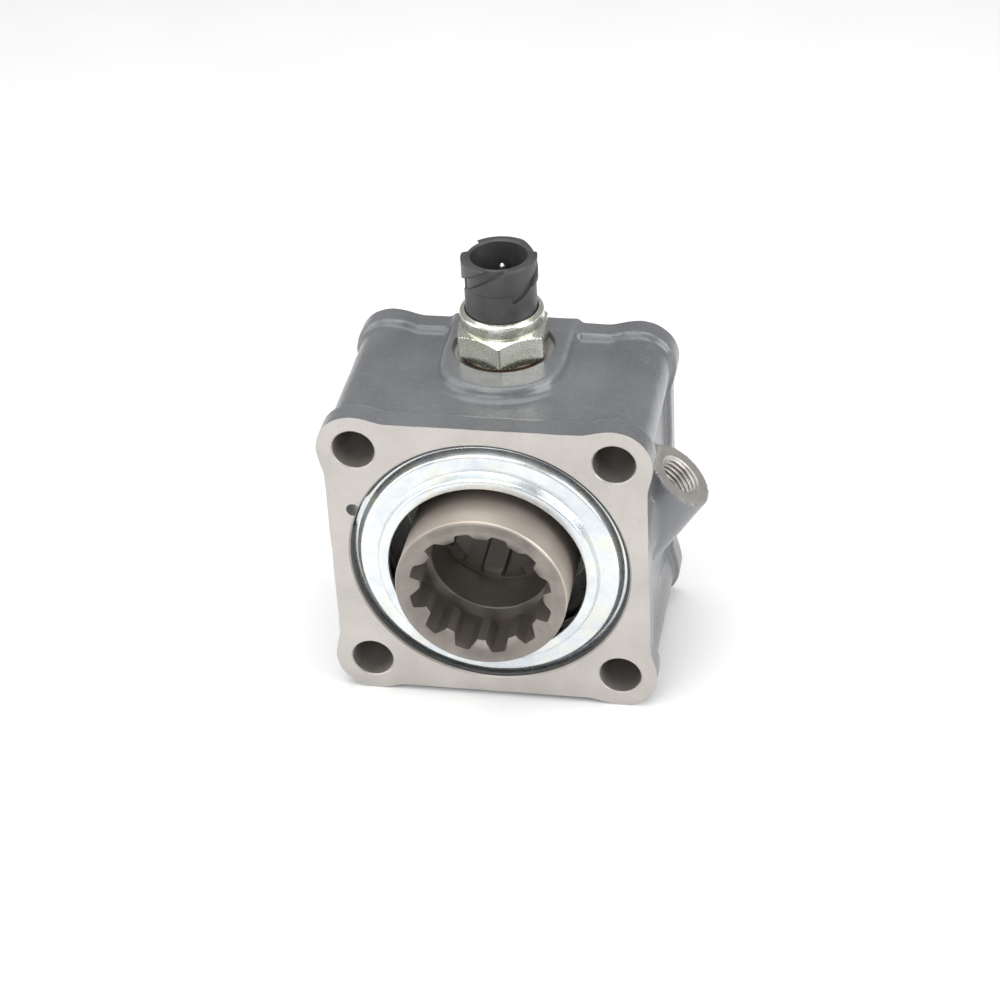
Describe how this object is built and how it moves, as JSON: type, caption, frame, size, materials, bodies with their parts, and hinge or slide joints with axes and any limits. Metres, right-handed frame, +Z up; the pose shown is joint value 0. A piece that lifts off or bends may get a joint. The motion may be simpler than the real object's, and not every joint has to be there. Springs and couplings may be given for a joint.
{
  "type": "power take off unit",
  "caption": "Pneumatic power take off unit: splined hub on a sliding piston in a bolt-on cast housing, with an air port and an indicator switch.",
  "frame": {"origin": "on the shaft axis, in the plane of the face that bolts to the gearbox", "axes": "+Y along the shaft, from the gearbox face towards the pump; +Z up, towards the indicator switch; +X to the side of the air port"},
  "size_m": [0.1177, 0.0805, 0.1357],
  "materials": {
    "paint": "semi-gloss paint over a slightly rough casting",
    "zinc_sheet": "bright zinc plate",
    "dark_wire": "oiled spring wire",
    "spring_steel": "drawn wire",
    "piston_metal": "turned",
    "seal_rubber": "moulded",
    "hub_steel": "turned and broached",
    "ring_steel": "blackened",
    "bearing_steel": "ground",
    "ball_steel": "polished",
    "cage_brass": "turned",
    "shield_steel": "pressed",
    "switch_plating": "greenish zinc plate",
    "washer_metal": "copper washer",
    "plunger_brass": "turned",
    "socket_plastic": "moulded",
    "pin_metal": "plated contacts"
  },
  "bodies": {
    "housing": {"housing": "paint", "front_cover": "zinc_sheet", "cover_wire_ring": "dark_wire", "return_spring": "spring_steel", "switch_body": "switch_plating", "switch_sealing_washer": "washer_metal", "switch_spring": "spring_steel", "switch_socket": "socket_plastic", "switch_pins": "pin_metal"},
    "piston": {"piston": "piston_metal", "land_seal_ring": "seal_rubber", "skirt_seal_ring": "seal_rubber", "bearing_outer_ring": "bearing_steel", "bearing_front_shield": "shield_steel", "bearing_rear_shield": "shield_steel", "bearing_retaining_ring": "ring_steel", "shaft_seal": "seal_rubber", "seal_garter_spring": "spring_steel"},
    "hub": {"coupling_hub": "hub_steel", "hub_retaining_ring": "ring_steel", "bearing_inner_ring": "bearing_steel"},
    "cage": {"bearing_cage": "cage_brass", "bearing_balls": "ball_steel"},
    "plunger": {"switch_plunger": "plunger_brass", "switch_ball": "ball_steel"}
  },
  "joints": [
    {"name": "piston_slide", "type": "slide", "parent": "housing", "child": "piston", "axis": [0, -1, 0], "range_m": [0, 0.009], "stiffness_N_per_m": 1700, "springref_m": -0.02, "deforming": ["return_spring"]},
    {"name": "hub_spin", "type": "hinge", "parent": "piston", "child": "hub", "pos_m": [0, 0, 0], "axis": [0, 1, 0], "continuous": true},
    {"name": "cage_spin", "type": "hinge", "parent": "piston", "child": "cage", "pos_m": [0, 0, 0], "axis": [0, 1, 0], "continuous": true},
    {"name": "plunger_lift", "type": "slide", "parent": "housing", "child": "plunger", "axis": [0, 0, 1], "range_m": [0, 0.0014], "deforming": ["switch_spring"]}
  ],
  "couplings": [
    {"joint": "cage_spin", "follows": "hub_spin", "ratio": 0.4438},
    {"joint": "plunger_lift", "follows": "piston_slide", "ratio": 0.15}
  ]
}
